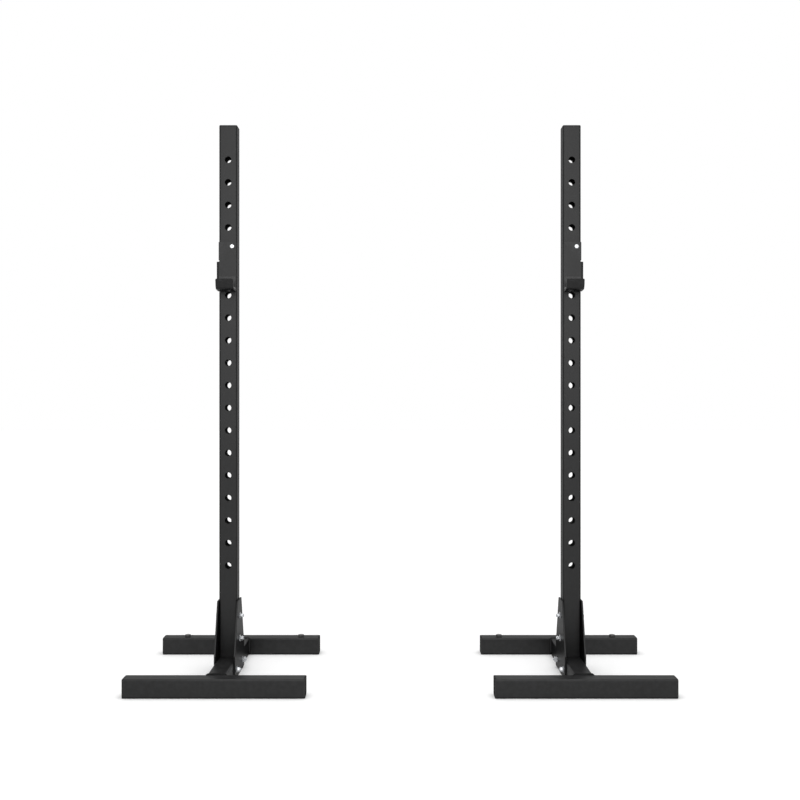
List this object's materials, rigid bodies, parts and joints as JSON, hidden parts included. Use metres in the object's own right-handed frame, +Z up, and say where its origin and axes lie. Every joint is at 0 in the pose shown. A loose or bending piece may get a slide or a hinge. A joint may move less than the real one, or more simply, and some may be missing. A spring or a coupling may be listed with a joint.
{
  "type": "squat stand",
  "caption": "Pair of free-standing steel squat stands: perforated square uprights on bolted H-shaped bases, each with a lined hook-on cup that swings on its pin.",
  "frame": {"origin": "on the floor, midway between the two stands, at the centre of the footprint", "axes": "+X from the left stand to the right stand as the cups' side is faced, +Y from the cups' side to the back, +Z up along the uprights"},
  "size_m": [1.705, 0.67, 1.829],
  "materials": {
    "powder_coat": "gloss black powder coat",
    "end_cap": "moulded black plastic",
    "liner": "smooth black polyethylene sheet",
    "zinc": "bright zinc plate",
    "black_oxide": "black oxide"
  },
  "bodies": {
    "stands": {"left_upright": "powder_coat", "left_upright_cap": "end_cap", "left_runner": "powder_coat", "left_front_foot": "powder_coat", "left_front_foot_outer_cap": "end_cap", "left_front_foot_inner_cap": "end_cap", "left_rear_foot": "powder_coat", "left_rear_foot_outer_cap": "end_cap", "left_rear_foot_inner_cap": "end_cap", "left_rear_foot_outer_insert": "zinc", "left_rear_foot_inner_insert": "zinc", "left_rear_foot_outer_bolt": "black_oxide", "left_rear_foot_inner_bolt": "black_oxide", "left_outer_gusset": "powder_coat", "left_inner_gusset": "powder_coat", "left_gusset_upper_bolt": "zinc", "left_gusset_upper_nut": "zinc", "left_gusset_lower_bolt": "zinc", "left_gusset_lower_nut": "zinc", "left_gusset_front_bolt": "zinc", "left_gusset_front_nut": "zinc", "left_gusset_rear_bolt": "zinc", "left_gusset_rear_nut": "zinc", "right_upright": "powder_coat", "right_upright_cap": "end_cap", "right_runner": "powder_coat", "right_front_foot": "powder_coat", "right_front_foot_outer_cap": "end_cap", "right_front_foot_inner_cap": "end_cap", "right_rear_foot": "powder_coat", "right_rear_foot_outer_cap": "end_cap", "right_rear_foot_inner_cap": "end_cap", "right_rear_foot_outer_insert": "zinc", "right_rear_foot_inner_insert": "zinc", "right_rear_foot_outer_bolt": "black_oxide", "right_rear_foot_inner_bolt": "black_oxide", "right_outer_gusset": "powder_coat", "right_inner_gusset": "powder_coat", "right_gusset_upper_bolt": "zinc", "right_gusset_upper_nut": "zinc", "right_gusset_lower_bolt": "zinc", "right_gusset_lower_nut": "zinc", "right_gusset_front_bolt": "zinc", "right_gusset_front_nut": "zinc", "right_gusset_rear_bolt": "zinc", "right_gusset_rear_nut": "zinc"},
    "left_cup": {"left_cup_bracket": "powder_coat", "left_cup_liner": "liner", "left_cup_pad": "liner", "left_cup_pin": "zinc", "left_cup_screw": "zinc"},
    "right_cup": {"right_cup_bracket": "powder_coat", "right_cup_liner": "liner", "right_cup_pad": "liner", "right_cup_pin": "zinc", "right_cup_screw": "zinc"}
  },
  "joints": [
    {"name": "left_cup_swing", "type": "hinge", "parent": "stands", "child": "left_cup", "pos_m": [-0.5715, -0.03, 1.4135], "axis": [0, 1, 0], "range_deg": [0, 100]},
    {"name": "right_cup_swing", "type": "hinge", "parent": "stands", "child": "right_cup", "pos_m": [0.5715, -0.03, 1.4135], "axis": [0, -1, 0], "range_deg": [0, 100]}
  ]
}
